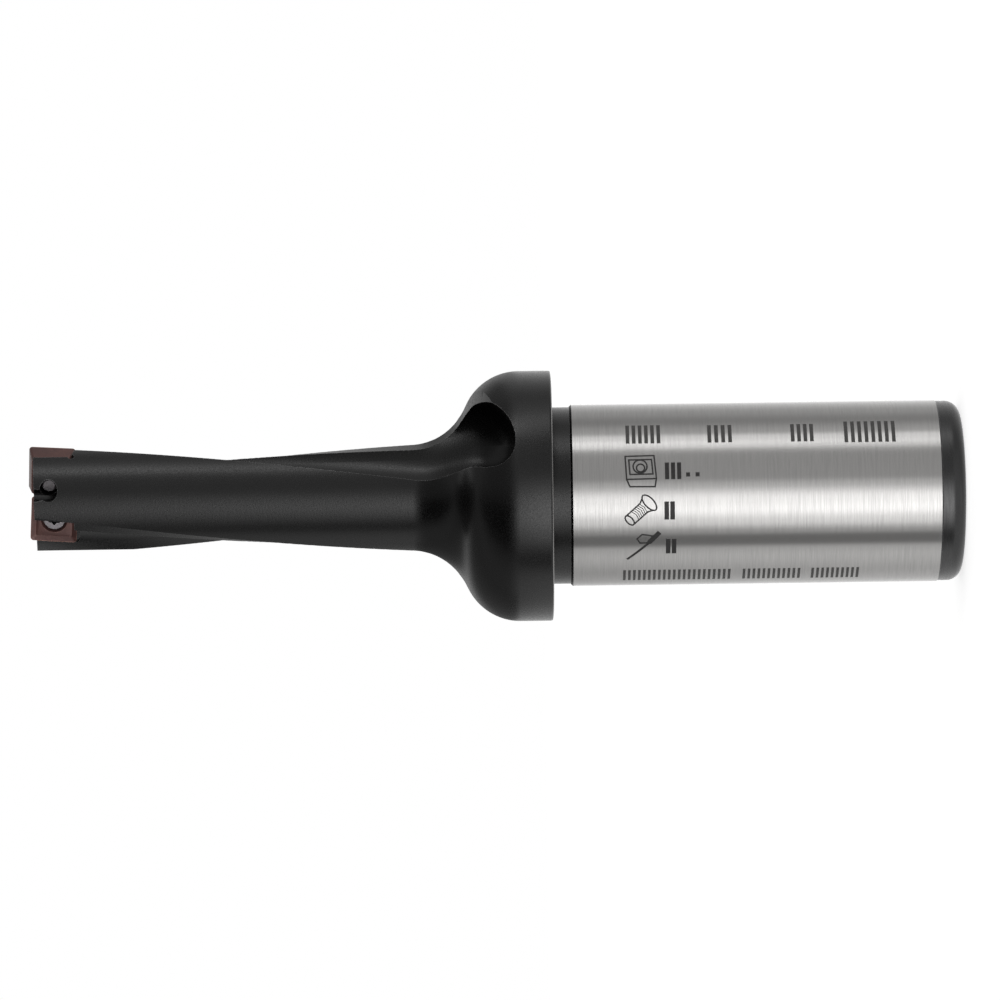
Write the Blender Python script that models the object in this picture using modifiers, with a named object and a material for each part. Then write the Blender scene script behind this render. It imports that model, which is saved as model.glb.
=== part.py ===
"""Indexable drill, 16 mm, three diameters deep, on a 25 mm cylindrical shank.

Metres, +Z up. The tool stands on its shank end: the origin is the middle of that end,
and the drill's axis runs up +Z to the two inserts at the tip.
"""

import math

import bmesh
import bpy
from mathutils import Matrix, Vector

# Along the axis
LENGTH = 0.1280
SHANK_L = 0.0560
FACE_BACK = 0.00085
FACE_FALL = math.radians(4.0)

# Turned form of the body
BODY_R = 0.0078
NECK_R = 0.0080
DOME_R = 0.0080
FLANGE_R = 0.0172
FLANGE_W = 0.0045
FLANGE_EDGE = 0.0004
RELIEF_R = 0.01215
RELIEF_W = 0.0024
SHANK_R = 0.0125
SHANK_EDGE = 0.0003
END_R = 0.01235
END_W = 0.0034
END_ROUND = 0.0020
ARC_STEPS = 7
SEGMENTS = 72

# Coolant way
INLET_R = 0.0040
INLET_EDGE = 0.0006
INLET_PAST_SHANK = 0.0040
INLET_POINT = 0.0023
CHANNEL_R = 0.00095
CHANNEL_ORBIT = 0.0050
OUTLET_ORBIT = 0.0076
OUTLET_RUN = 0.0080
OUTLET_ANGLE = math.radians(-66.0)

# Drive flat
FLAT_DEPTH = 0.0020
FLAT_L = 0.0300
FLAT_FROM_END = 0.0130
FLAT_ANGLE = math.radians(90.0)

# Flutes
TWIST = math.radians(1.04) / 0.001
MILL_R = 0.0050
MILL_CORNER = 0.0049
WEB_HALF = 0.0012
RUNOUT_LIFT = 0.0018
RUNOUT_PAST_NECK = 0.0091
RUNOUT_L = 0.0080
HEEL_DEPTH = 0.0012
HEEL_LEAN = 0.4
HEEL_RISE = 1.4
HEEL_REACH = 0.0040
HEEL_TURN_SHORT = 0.0006
RELIEF_FLAT = 0.00665
RELIEF_FLAT_ANGLE = math.radians(197.0)
RELIEF_FLAT_L = 0.0200
FLUTE_STEPS = 26
CORNER_STEPS = 4
END_STEPS = 7
NOSE_STOP = math.radians(86.0)

# Inserts
INSERT_SIDE = 0.00635
INSERT_T = 0.00278
INSERT_CORNER = 0.00045
CLEARANCE = math.radians(11.0)
RIM_W = 0.00095
RIM_GROOVE = 0.00070
RIM_CORNER = 0.5
RIM_DEPTH = 0.00022
FLOOR_DEPTH = 0.00014
SINK_R = 0.0019
SINK_DEPTH = 0.0009
INSERT_BORE_R = 0.0013
SEAT_GAP = 0.00006
WALL_GAP = 0.00008
CORNER_MILL_R = 0.0006
CORNER_MILL_IN = 0.0002
UNDERCUT_R = 0.00045
OUTER_RAKE = math.radians(8.0)
OUTER_TURN = math.radians(3.5)
INNER_TURN = math.radians(-4.0)
CUT_R = 0.0080
INNER_CUT_R = 0.0058
INNER_ACCESS = 0.0090
INNER_ACCESS_LEAN = 0.2
INNER_PAST = 0.0003
INNER_REAR_GAP = 0.0004
INNER_REAR_DEPTH = 0.0012
INNER_SIDE_GAP = 0.0001

# Screws
HEAD_R = 0.0016
HEAD_H = 0.0010
HEAD_SUNK = 0.0003
SCREW_R = 0.0011
SCREW_L = 0.0060
SCREW_TIP = 0.0003
HEAD_EDGE = 0.00012
HOLE_R = 0.00125
SOCKET_R = 0.00083
SOCKET_WAVE = 0.00012
SOCKET_DEPTH = 0.0006
SOCKET_POINTS = 36

# A cutter reaches this far where it only has to leave the metal.
REACH = 0.0220
PROUD = 0.0010

NECK_CENTRE_R = BODY_R + NECK_R
DOME_CENTRE_R = FLANGE_R - DOME_R
DOME_START = LENGTH - SHANK_L - FLANGE_W
NECK_START = DOME_START - math.sqrt((NECK_R + DOME_R) ** 2 - (NECK_CENTRE_R - DOME_CENTRE_R) ** 2)
NECK_SHARE = NECK_R / (NECK_R + DOME_R)
NECK_END = NECK_START + (DOME_START - NECK_START) * NECK_SHARE
RUNOUT_END = NECK_START + RUNOUT_PAST_NECK
HEEL_TURN = NECK_END - HEEL_TURN_SHORT
INLET_DEPTH = SHANK_L + INLET_PAST_SHANK


def cleared_scene():
    for old in list(bpy.data.objects):
        bpy.data.objects.remove(old, do_unlink=True)


def collection(name):
    made = bpy.data.collections.new(name)
    bpy.context.scene.collection.children.link(made)
    return made


def placed(name, mesh, home):
    made = bpy.data.objects.new(name, mesh)
    home.objects.link(made)
    if home is CUTTERS:
        made.hide_render = True
        made.display_type = "WIRE"
    return made


def from_bmesh(name, bm, home):
    bmesh.ops.recalc_face_normals(bm, faces=bm.faces[:])
    mesh = bpy.data.meshes.new(name)
    bm.to_mesh(mesh)
    bm.free()
    return placed(name, mesh, home)


def lathed(name, profile, steps, home):
    """The profile, points (radius, height) from the top down, turned about Z."""
    mesh = bpy.data.meshes.new(name)
    edges = [(i, i + 1) for i in range(len(profile) - 1)]
    mesh.from_pydata([(r, 0.0, z) for r, z in profile], edges, [])
    made = placed(name, mesh, home)
    turn = made.modifiers.new("turn", "SCREW")
    turn.steps = steps
    turn.render_steps = steps
    turn.use_merge_vertices = True
    turn.merge_threshold = 0.00001
    return made


def lofted(name, rings, home):
    """A solid through rings of equally many points, closed by its first and last ring."""
    bm = bmesh.new()
    rows = [[bm.verts.new(point) for point in ring] for ring in rings]
    for low, high in zip(rows, rows[1:]):
        for i in range(len(low)):
            j = (i + 1) % len(low)
            bm.faces.new((low[i], low[j], high[j], high[i]))
    bm.faces.new(rows[0][::-1])
    bm.faces.new(rows[-1])
    return from_bmesh(name, bm, home)


def swept(name, points, radius, home):
    """A round bar through the points, its end caps welded on."""
    curve = bpy.data.curves.new(name, "CURVE")
    curve.dimensions = "3D"
    curve.bevel_depth = radius
    curve.bevel_resolution = 2
    curve.use_fill_caps = True
    line = curve.splines.new("POLY")
    line.points.add(len(points) - 1)
    for knot, point in zip(line.points, points):
        knot.co = (point[0], point[1], point[2], 1.0)
    guide = placed(name + "_line", curve, CUTTERS)
    graph = bpy.context.evaluated_depsgraph_get()
    mesh = bpy.data.meshes.new_from_object(guide.evaluated_get(graph))
    bpy.data.objects.remove(guide, do_unlink=True)
    bm = bmesh.new()
    bm.from_mesh(mesh)
    bmesh.ops.remove_doubles(bm, verts=bm.verts[:], dist=0.000001)
    return from_bmesh(name, bm, home)


def block(name, low, high, home, place=None):
    """A box between two corners, in the frame given."""
    bm = bmesh.new()
    bmesh.ops.create_cube(bm, size=1.0)
    for vert in bm.verts:
        for axis in range(3):
            vert.co[axis] = high[axis] if vert.co[axis] > 0.0 else low[axis]
    if place is not None:
        bm.transform(place)
    return from_bmesh(name, bm, home)


def boolean(target, other, operation="DIFFERENCE"):
    step = target.modifiers.new(other.name, "BOOLEAN")
    step.solver = "EXACT"
    step.operation = operation
    step.object = other


def settled(target, sharp_from):
    """Makes the object's modifiers its mesh, smooth up to an angle."""
    graph = bpy.context.evaluated_depsgraph_get()
    mesh = bpy.data.meshes.new_from_object(target.evaluated_get(graph))
    mesh.transform(target.matrix_world)
    target.modifiers.clear()
    target.data = mesh
    target.matrix_world = Matrix.Identity(4)
    mesh.shade_smooth()
    mesh.set_sharp_from_angle(angle=sharp_from)


def painted(target, name, colour, metallic, roughness):
    material = bpy.data.materials.get(name) or bpy.data.materials.new(name)
    material.use_nodes = True
    shader = material.node_tree.nodes["Principled BSDF"]
    shader.inputs["Base Color"].default_value = (*colour, 1.0)
    shader.inputs["Metallic"].default_value = metallic
    shader.inputs["Roughness"].default_value = roughness
    target.data.materials.clear()
    target.data.materials.append(material)


def arc(centre, radius, start, end, steps):
    """Points (across, along) on a circle, angles in degrees, both ends kept."""
    found = []
    for i in range(steps + 1):
        angle = math.radians(start + (end - start) * i / steps)
        found.append((centre[0] + radius * math.cos(angle), centre[1] + radius * math.sin(angle)))
    return found


def around(angle, radius, z):
    return Vector((radius * math.cos(angle), radius * math.sin(angle), z))


# Turned body

def turned_radius(below):
    """Radius of the turned form, at a distance below the tip and above the shank."""
    if below < NECK_START:
        return BODY_R
    if below < NECK_END:
        return NECK_CENTRE_R - math.sqrt(NECK_R**2 - (below - NECK_START) ** 2)
    if below < DOME_START:
        return DOME_CENTRE_R + math.sqrt(DOME_R**2 - (DOME_START - below) ** 2)
    return FLANGE_R


def body_profile():
    """Outer side from the tip down, then up the inside of the coolant inlet."""
    profile = [(0.0, LENGTH + PROUD), (BODY_R, LENGTH + PROUD), (BODY_R, LENGTH - NECK_START)]
    for i in range(1, 2 * ARC_STEPS):
        below = NECK_START + (DOME_START - NECK_START) * i / (2 * ARC_STEPS)
        profile.append((turned_radius(below), LENGTH - below))
    profile.append((FLANGE_R, LENGTH - DOME_START))
    profile.append((FLANGE_R, SHANK_L + FLANGE_EDGE))
    profile.append((FLANGE_R - FLANGE_EDGE, SHANK_L))
    profile.append((RELIEF_R, SHANK_L))
    profile.append((RELIEF_R, SHANK_L - RELIEF_W))
    profile.append((SHANK_R - SHANK_EDGE, SHANK_L - RELIEF_W))
    profile.append((SHANK_R, SHANK_L - RELIEF_W - SHANK_EDGE))
    profile.append((SHANK_R, END_W))
    profile.append((END_R, END_W - (SHANK_R - END_R)))
    profile += arc((END_R - END_ROUND, END_ROUND), END_ROUND, 0.0, -90.0, 4)
    profile.append((INLET_R + INLET_EDGE, 0.0))
    profile.append((INLET_R, INLET_EDGE))
    profile.append((INLET_R, INLET_DEPTH))
    profile.append((0.0, INLET_DEPTH + INLET_POINT))
    return profile


def drive_flat():
    low = (SHANK_R - FLAT_DEPTH, -SHANK_R, FLAT_FROM_END)
    high = (REACH, SHANK_R, FLAT_FROM_END + FLAT_L)
    return block("drive_flat", low, high, CUTTERS, Matrix.Rotation(FLAT_ANGLE, 4, "Z"))


# Flutes

def flute_angle(below, side):
    return -TWIST * below + math.pi * side


def flute_lift(below):
    """How far the mill has moved off the rake wall as the flute runs out."""
    share = 1.0 + (below - RUNOUT_END) / RUNOUT_L
    share = max(0.0, min(share, 1.0))
    return RUNOUT_LIFT * share * share * (3.0 - 2.0 * share)


def flute_section(below):
    """Where the mill's side and rounded corner cross a level of the drill."""
    middle = flute_lift(below) + MILL_R
    past = max(0.0, below - RUNOUT_END)
    flat = MILL_R - MILL_CORNER
    start = math.asin(max(0.0, (past - flat) / MILL_CORNER))
    wall = []
    for i in range(CORNER_STEPS + 1):
        angle = start + (math.pi / 2.0 - start) * i / CORNER_STEPS
        radius = flat + MILL_CORNER * math.sin(angle)
        half = max(math.sqrt(max(0.0, radius**2 - past**2)), SEAT_GAP)
        wall.append((WEB_HALF + MILL_CORNER * (1.0 - math.cos(angle)), half))
    wall.append((REACH, wall[-1][1]))
    near = [(x, middle - half) for x, half in wall[::-1]]
    return near + [(x, middle + half) for x, half in wall]


def flute(side):
    """The mill's section carried down the helix, and round to its far side at the end."""
    levels = []
    for step in range(FLUTE_STEPS + 1):
        levels.append(-2.0 * PROUD + (RUNOUT_END + 2.0 * PROUD) * step / FLUTE_STEPS)
    for step in range(1, END_STEPS + 1):
        levels.append(RUNOUT_END + MILL_R * math.sin(NOSE_STOP * step / END_STEPS))
    rings = []
    for below in levels:
        turn = Matrix.Rotation(flute_angle(below, side), 4, "Z")
        rings.append([turn @ Vector((x, y, LENGTH - below)) for x, y in flute_section(below)])
    return lofted("flute_%d" % side, rings, CUTTERS)


def heel_radius(below):
    """The turned radius the heel mill follows: up the neck, then straight on through the dome."""
    return turned_radius(min(below, HEEL_TURN)) + HEEL_RISE * max(0.0, below - HEEL_TURN)


def trailing_edge(below):
    """Where the flute's far side meets the heel mill's radius, and the way off that side."""
    radius = heel_radius(below)
    wall = flute_lift(below) + 2.0 * MILL_R
    low, high = WEB_HALF, radius
    for _ in range(40):
        x = (low + high) / 2.0
        lean = max(0.0, 1.0 - (x - WEB_HALF) / MILL_CORNER)
        y = wall - MILL_CORNER * (1.0 - math.sqrt(1.0 - lean**2))
        if math.hypot(x, y) < radius:
            low = x
        else:
            high = x
    return Vector((x, y)), Vector((lean, -math.sqrt(1.0 - lean**2)))


def heel_break(side):
    """The flat milled along the flute's trailing edge, up the neck and out through the dome."""
    levels = [-2.0 * PROUD + (HEEL_TURN + 2.0 * PROUD) * i / FLUTE_STEPS for i in range(FLUTE_STEPS + 1)]
    levels += [HEEL_TURN + (DOME_START - HEEL_TURN) * i / END_STEPS for i in range(1, END_STEPS + 1)]
    rings = []
    for below in levels:
        edge, off = trailing_edge(below)
        out = (edge.normalized() + HEEL_LEAN * off).normalized()
        across = HEEL_REACH * Vector((-out.y, out.x))
        low = edge - HEEL_DEPTH * out
        corners = (low - across, low - across + REACH * out, low + across + REACH * out, low + across)
        turn = Matrix.Rotation(flute_angle(below, side), 4, "Z")
        rings.append([turn @ Vector((corner.x, corner.y, LENGTH - below)) for corner in corners])
    return lofted("heel_break_%d" % side, rings, CUTTERS)


# Front of the body

def front_faces():
    """Both lands' end faces, each falling away behind its insert."""
    front = LENGTH - FACE_BACK
    fall = REACH * math.tan(FACE_FALL)
    ridge = [(-REACH, front - fall), (0.0, front), (REACH, front - fall)]
    ridge += [(REACH, front + REACH), (-REACH, front + REACH)]
    rings = [[(x, y, z) for y, z in ridge] for x in (-REACH, REACH)]
    return lofted("front_faces", rings, CUTTERS)


def inner_land_relief():
    low = (RELIEF_FLAT, -BODY_R, LENGTH - RELIEF_FLAT_L)
    high = (REACH, BODY_R, LENGTH + 2.0 * PROUD)
    return block("inner_land_relief", low, high, CUTTERS, Matrix.Rotation(RELIEF_FLAT_ANGLE, 4, "Z"))


def coolant_channel(side):
    """Slanting outlet beside the insert screw, then a helix in the land to the inlet."""
    half_turn = math.pi * side
    front = LENGTH - FACE_BACK
    slope = (OUTLET_ORBIT - CHANNEL_ORBIT) / OUTLET_RUN
    bottom = INLET_DEPTH - INLET_R
    points = [around(OUTLET_ANGLE + half_turn, OUTLET_ORBIT + slope * 2.0 * PROUD, front + 2.0 * PROUD)]
    steps = 14
    for i in range(steps + 1):
        z = front - OUTLET_RUN - (front - OUTLET_RUN - bottom) * i / steps
        angle = OUTLET_ANGLE + TWIST * (z - front + OUTLET_RUN) + half_turn
        orbit = CHANNEL_ORBIT + (INLET_R - CHANNEL_R - CHANNEL_ORBIT) * max(0.0, i - steps + 2) / 2.0
        points.append(around(angle, orbit, z))
    return swept("coolant_channel_%d" % side, points, CHANNEL_R, CUTTERS)


# Inserts, each in its own frame: +X outward along the edge, +Y to the shank, +Z off the rake face

def insert_frame(side, cut_radius, rake, turn):
    """The frame that brings the turned square's outermost edge to its cutting radius."""
    straight = INSERT_SIDE / 2.0 - INSERT_CORNER
    half_width = straight * (math.cos(turn) + abs(math.sin(turn))) + INSERT_CORNER
    edge = Vector((cut_radius, 0.0, LENGTH - half_width))
    back = Matrix.Rotation(-rake, 4, "Z") @ Vector((-half_width, 0.0, 0.0))
    stand = Matrix.Rotation(-rake, 4, "Z") @ Matrix.Rotation(-math.pi / 2.0, 4, "X")
    place = Matrix.Translation(edge + back) @ stand @ Matrix.Rotation(turn, 4, "Z")
    return Matrix.Rotation(math.pi * side, 4, "Z") @ place


def rounded_square(half, corner, z, steps=3):
    ring = []
    for quarter in range(4):
        turn = Matrix.Rotation(quarter * math.pi / 2.0, 4, "Z")
        for x, y in arc((half - corner, half - corner), corner, 0.0, 90.0, steps):
            ring.append(turn @ Vector((x, y, z)))
    return ring


def insert_rings():
    """Outline from the seat up to the edge, then down the chip breaker to the middle floor."""
    half = INSERT_SIDE / 2.0
    draft = INSERT_T * math.tan(CLEARANCE)
    return [
        rounded_square(half - draft, INSERT_CORNER, -INSERT_T),
        rounded_square(half, INSERT_CORNER, 0.0),
        rounded_square(half - RIM_GROOVE, INSERT_CORNER * RIM_CORNER, -RIM_DEPTH),
        rounded_square(half - RIM_W, INSERT_CORNER * RIM_CORNER, -FLOOR_DEPTH),
    ]


def insert_bore(name, place):
    """Countersunk bore for the screw."""
    profile = [(0.0, PROUD), (SINK_R, PROUD), (SINK_R, -FLOOR_DEPTH)]
    profile += [(INSERT_BORE_R, -FLOOR_DEPTH - SINK_DEPTH), (INSERT_BORE_R, -INSERT_T - PROUD)]
    profile.append((0.0, -INSERT_T - PROUD))
    bore = lathed(name, profile, 28, CUTTERS)
    bore.matrix_world = place
    return bore


def insert(name, place):
    made = lofted(name, [[place @ point for point in ring] for ring in insert_rings()], TOOL)
    boolean(made, insert_bore(name + "_bore", place))
    settled(made, math.radians(25.0))
    painted(made, "coated_carbide", (0.130, 0.052, 0.042), 0.3, 0.42)


def pocket(name, place, inner, outer, access, lean):
    """Floor and tapered walls behind the insert and beside it, open to the tip."""
    rear = INSERT_SIDE / 2.0 + WALL_GAP
    rings = []
    for z in (-INSERT_T - SEAT_GAP, 0.0, access):
        draft = math.tan(CLEARANCE) * min(z, 0.0)
        slant = lean * max(z, 0.0)
        near, far = inner - draft + slant, outer + draft
        corners = ((near, rear + draft), (far, rear + draft), (far, -REACH), (near, -REACH))
        rings.append([place @ Vector((x, y, z)) for x, y in corners])
    return lofted(name, rings, CUTTERS)


def wall_undercut(name, place, inner, outer):
    """Groove along the foot of the pocket's rear wall, clear of the insert's lower edge."""
    rear = INSERT_SIDE / 2.0 + WALL_GAP - math.tan(CLEARANCE) * INSERT_T
    profile = [(0.0, outer), (UNDERCUT_R, outer), (UNDERCUT_R, inner), (0.0, inner)]
    mill = lathed(name, profile, 16, CUTTERS)
    across = Matrix.Translation((0.0, rear, -INSERT_T)) @ Matrix.Rotation(math.pi / 2.0, 4, "Y")
    mill.matrix_world = place @ across
    return mill


def corner_relief(name, place, x, radius, depth):
    """Round corner milled where the rear wall meets the side wall."""
    rear = INSERT_SIDE / 2.0 + WALL_GAP
    profile = [(0.0, PROUD), (radius, PROUD), (radius, -depth), (0.0, -depth)]
    mill = lathed(name, profile, 16, CUTTERS)
    mill.matrix_world = place @ Matrix.Translation((x, rear, 0.0))
    return mill


def screw_hole(name, place):
    top = -INSERT_T / 2.0
    profile = [(0.0, top), (HOLE_R, top), (HOLE_R, -REACH), (0.0, -REACH)]
    hole = lathed(name, profile, 24, CUTTERS)
    hole.matrix_world = place
    return hole


def outer_seat(place):
    half = INSERT_SIDE / 2.0 + WALL_GAP
    return [
        screw_hole("outer_screw_hole", place),
        pocket("outer_pocket", place, -half, REACH, PROUD, 0.0),
        wall_undercut("outer_undercut", place, -half, REACH),
        corner_relief("outer_corner", place, -half + CORNER_MILL_IN, CORNER_MILL_R, INSERT_T),
    ]


def rear_gap(name, place, inner, outer):
    """Room behind the insert's edge, its outer corner left round by the mill."""
    rear = INSERT_SIDE / 2.0 + INNER_REAR_GAP
    corner = arc((outer - CORNER_MILL_R, rear - CORNER_MILL_R), CORNER_MILL_R, 0.0, 90.0, 4)
    outline = [(inner, 0.0), (outer, 0.0)] + corner + [(inner, rear)]
    rings = []
    for z in (-INNER_REAR_DEPTH, PROUD):
        rings.append([place @ Vector((x, y, z)) for x, y in outline])
    return lofted(name, rings, CUTTERS)


def inner_seat(place):
    half = INSERT_SIDE / 2.0 + WALL_GAP
    inner = -half - INNER_PAST
    return [
        rear_gap("inner_rear_gap", place, inner, half + INNER_SIDE_GAP),
        wall_undercut("inner_undercut", place, inner, half),
        pocket("inner_pocket", place, inner, half, INNER_ACCESS, INNER_ACCESS_LEAN),
        screw_hole("inner_screw_hole", place),
    ]


# Insert screws

def socket(name, place):
    """Six-lobed driver socket."""
    rings = []
    for z in (-HEAD_SUNK - SOCKET_DEPTH, PROUD):
        ring = []
        for i in range(SOCKET_POINTS):
            angle = 2.0 * math.pi * i / SOCKET_POINTS
            radius = SOCKET_R + SOCKET_WAVE * math.cos(6.0 * angle)
            ring.append(place @ Vector((radius * math.cos(angle), radius * math.sin(angle), z)))
        rings.append(ring)
    return lofted(name, rings, CUTTERS)


def insert_screw(name, place):
    """Countersunk head, a shank the size of the thread, and a chamfered end."""
    top = -HEAD_SUNK
    end = top - SCREW_L
    profile = [(0.0, top), (HEAD_R - HEAD_EDGE, top), (HEAD_R, top - HEAD_EDGE)]
    profile += [(HEAD_R, top - 2.0 * HEAD_EDGE), (SCREW_R, top - HEAD_H)]
    profile += [(SCREW_R, end + SCREW_TIP), (SCREW_R - SCREW_TIP, end), (0.0, end)]
    made = lathed(name, profile, 28, TOOL)
    made.matrix_world = place
    boolean(made, socket(name + "_socket", place))
    settled(made, math.radians(30.0))
    painted(made, "screw_steel", (0.17, 0.15, 0.165), 0.9, 0.38)


def drill_body(outer_place, inner_place):
    """One bar: turned, fluted, pocketed, cross-drilled, and with a flat on its shank."""
    body = lathed("drill_body", body_profile(), SEGMENTS, TOOL)
    cutters = [drive_flat(), inner_land_relief()]
    for side in (0, 1):
        cutters += [flute(side), heel_break(side)]
    cutters += [front_faces()]
    cutters += [coolant_channel(side) for side in (0, 1)]
    cutters += inner_seat(inner_place) + outer_seat(outer_place)
    for cutter in cutters:
        boolean(body, cutter)
    settled(body, math.radians(30.0))
    painted(body, "black_oxide_steel", (0.022, 0.022, 0.024), 0.8, 0.45)


cleared_scene()
TOOL = collection("indexable_drill")
CUTTERS = collection("cutters")
OUTER_PLACE = insert_frame(0, CUT_R, OUTER_RAKE, OUTER_TURN)
INNER_PLACE = insert_frame(1, INNER_CUT_R, 0.0, INNER_TURN)
drill_body(OUTER_PLACE, INNER_PLACE)
insert("outer_insert", OUTER_PLACE)
insert("inner_insert", INNER_PLACE)
insert_screw("outer_insert_screw", OUTER_PLACE)
insert_screw("inner_insert_screw", INNER_PLACE)
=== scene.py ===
"""Indexable drill, dressed: 16 mm, three diameters deep, on a 25 mm cylindrical shank.

Metres, +Z up. The tool stands on its shank end and its axis runs up +Z to the two inserts.
"""

import math

import bmesh
import bpy
from mathutils import Matrix, Vector


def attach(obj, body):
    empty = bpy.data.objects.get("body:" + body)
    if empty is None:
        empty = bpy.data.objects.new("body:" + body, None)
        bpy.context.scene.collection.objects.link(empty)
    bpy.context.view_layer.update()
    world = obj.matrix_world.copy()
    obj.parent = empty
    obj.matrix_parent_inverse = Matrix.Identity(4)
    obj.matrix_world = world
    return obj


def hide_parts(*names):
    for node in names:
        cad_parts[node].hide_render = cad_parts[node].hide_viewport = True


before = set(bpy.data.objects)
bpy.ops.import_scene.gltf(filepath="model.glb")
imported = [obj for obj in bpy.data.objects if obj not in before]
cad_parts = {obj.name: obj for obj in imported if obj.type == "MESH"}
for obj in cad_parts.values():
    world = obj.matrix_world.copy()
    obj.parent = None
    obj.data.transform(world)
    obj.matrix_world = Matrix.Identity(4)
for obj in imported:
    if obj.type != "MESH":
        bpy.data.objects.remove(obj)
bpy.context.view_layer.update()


# ---- Turned blank
# One bar of tool steel, turned between centres: shank, thrust flange, and a slim front
# that a fillet joins to the flange. Everything else on the body is milled into it.

LENGTH = 0.1280
SHANK_L = 0.0560
BODY_R = 0.0078
NECK_R = 0.0080
DOME_R = 0.0080
FLANGE_R = 0.0172
FLANGE_W = 0.0045
FLANGE_EDGE = 0.0004
RELIEF_R = 0.01215
RELIEF_W = 0.0024
SHANK_R = 0.0125
SHANK_EDGE = 0.0003
END_R = 0.01235
END_W = 0.0034
END_ROUND = 0.0020
INLET_R = 0.0040
INLET_EDGE = 0.0006
INLET_DEPTH = SHANK_L + 0.0040
INLET_POINT = 0.0023
TURNING_STEPS = 240
FILLET_STEPS = 22
EDGE_STEPS = 8
ROUND_STEPS = 12
PROUD = 0.0010
REACH = 0.0220

NECK_CENTRE_R = BODY_R + NECK_R
DOME_CENTRE_R = FLANGE_R - DOME_R
DOME_START = LENGTH - SHANK_L - FLANGE_W
NECK_START = DOME_START - math.sqrt((NECK_R + DOME_R) ** 2 - (NECK_CENTRE_R - DOME_CENTRE_R) ** 2)
NECK_END = NECK_START + (DOME_START - NECK_START) * NECK_R / (NECK_R + DOME_R)


def in_shop(name, mesh):
    """A workpiece or a cutter, on the bench until it is used up."""
    made = bpy.data.objects.new(name, mesh)
    bpy.context.scene.collection.objects.link(made)
    return made


def closed(name, bm):
    bmesh.ops.recalc_face_normals(bm, faces=bm.faces[:])
    mesh = bpy.data.meshes.new(name)
    bm.to_mesh(mesh)
    bm.free()
    return in_shop(name, mesh)


def turned(name, profile, steps, place=None):
    """The profile, points (radius, height), turned about Z; ends on the axis are closed."""
    bm = bmesh.new()
    rows = []
    for radius, height in profile:
        if radius == 0.0:
            rows.append([bm.verts.new((0.0, 0.0, height))] * steps)
            continue
        turns = [2.0 * math.pi * i / steps for i in range(steps)]
        rows.append([bm.verts.new((radius * math.cos(a), radius * math.sin(a), height)) for a in turns])
    for upper, lower in zip(rows, rows[1:]):
        for i in range(steps):
            j = (i + 1) % steps
            corners = dict.fromkeys((upper[i], lower[i], lower[j], upper[j]))
            bm.faces.new(list(corners))
    if place is not None:
        bm.transform(place)
    return closed(name, bm)


def arc(centre, radius, start, end, steps):
    found = []
    for i in range(steps + 1):
        angle = math.radians(start + (end - start) * i / steps)
        found.append((centre[0] + radius * math.cos(angle), centre[1] + radius * math.sin(angle)))
    return found


def turned_radius(below):
    """Radius of the turned front, at a distance below the tip."""
    if below < NECK_START:
        return BODY_R
    if below < NECK_END:
        return NECK_CENTRE_R - math.sqrt(NECK_R**2 - (below - NECK_START) ** 2)
    if below < DOME_START:
        return DOME_CENTRE_R + math.sqrt(DOME_R**2 - (DOME_START - below) ** 2)
    return FLANGE_R


def blank_profile():
    profile = [(0.0, LENGTH + PROUD), (BODY_R, LENGTH + PROUD), (BODY_R, LENGTH - NECK_START)]
    for i in range(1, 2 * FILLET_STEPS):
        below = NECK_START + (DOME_START - NECK_START) * i / (2 * FILLET_STEPS)
        profile.append((turned_radius(below), LENGTH - below))
    profile.append((FLANGE_R, LENGTH - DOME_START))
    profile += arc((FLANGE_R - FLANGE_EDGE, SHANK_L + FLANGE_EDGE), FLANGE_EDGE, 0.0, -90.0, EDGE_STEPS)
    profile += [(RELIEF_R, SHANK_L), (RELIEF_R, SHANK_L - RELIEF_W)]
    profile.append((SHANK_R - SHANK_EDGE, SHANK_L - RELIEF_W))
    profile.append((SHANK_R, SHANK_L - RELIEF_W - SHANK_EDGE))
    profile += [(SHANK_R, END_W), (END_R, END_W - (SHANK_R - END_R))]
    profile += arc((END_R - END_ROUND, END_ROUND), END_ROUND, 0.0, -90.0, ROUND_STEPS)
    profile += [(INLET_R + INLET_EDGE, 0.0), (INLET_R, INLET_EDGE), (INLET_R, INLET_DEPTH)]
    profile.append((0.0, INLET_DEPTH + INLET_POINT))
    return profile


drill_body = turned("dressed_drill_body", blank_profile(), TURNING_STEPS)
milling = []


# ---- Drive flat
# A flat milled across the shank, where the holder's clamping screw bears.

FLAT_DEPTH = 0.0020
FLAT_L = 0.0300
FLAT_FROM_END = 0.0130
FLAT_ANGLE = math.radians(90.0)


def lofted(name, rings):
    """A solid through rings of equally many points, closed by its first and last ring."""
    bm = bmesh.new()
    rows = [[bm.verts.new(point) for point in ring] for ring in rings]
    for low, high in zip(rows, rows[1:]):
        for i in range(len(low)):
            j = (i + 1) % len(low)
            bm.faces.new((low[i], low[j], high[j], high[i]))
    bm.faces.new(rows[0][::-1])
    bm.faces.new(rows[-1])
    return closed(name, bm)


def block(name, low, high, place):
    rings = []
    for z in (low[2], high[2]):
        corners = ((low[0], low[1]), (high[0], low[1]), (high[0], high[1]), (low[0], high[1]))
        rings.append([place @ Vector((x, y, z)) for x, y in corners])
    return lofted(name, rings)


flat_low = (SHANK_R - FLAT_DEPTH, -SHANK_R, FLAT_FROM_END)
flat_high = (REACH, SHANK_R, FLAT_FROM_END + FLAT_L)
milling.append(block("drive_flat", flat_low, flat_high, Matrix.Rotation(FLAT_ANGLE, 4, "Z")))


# ---- Flutes
# Two helical chip flutes, cut by an end mill with a rounded corner that lifts off the
# rake wall as it nears the flange. A flat is then milled along each trailing edge, up the
# neck and out through the dome of the flange.

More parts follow.
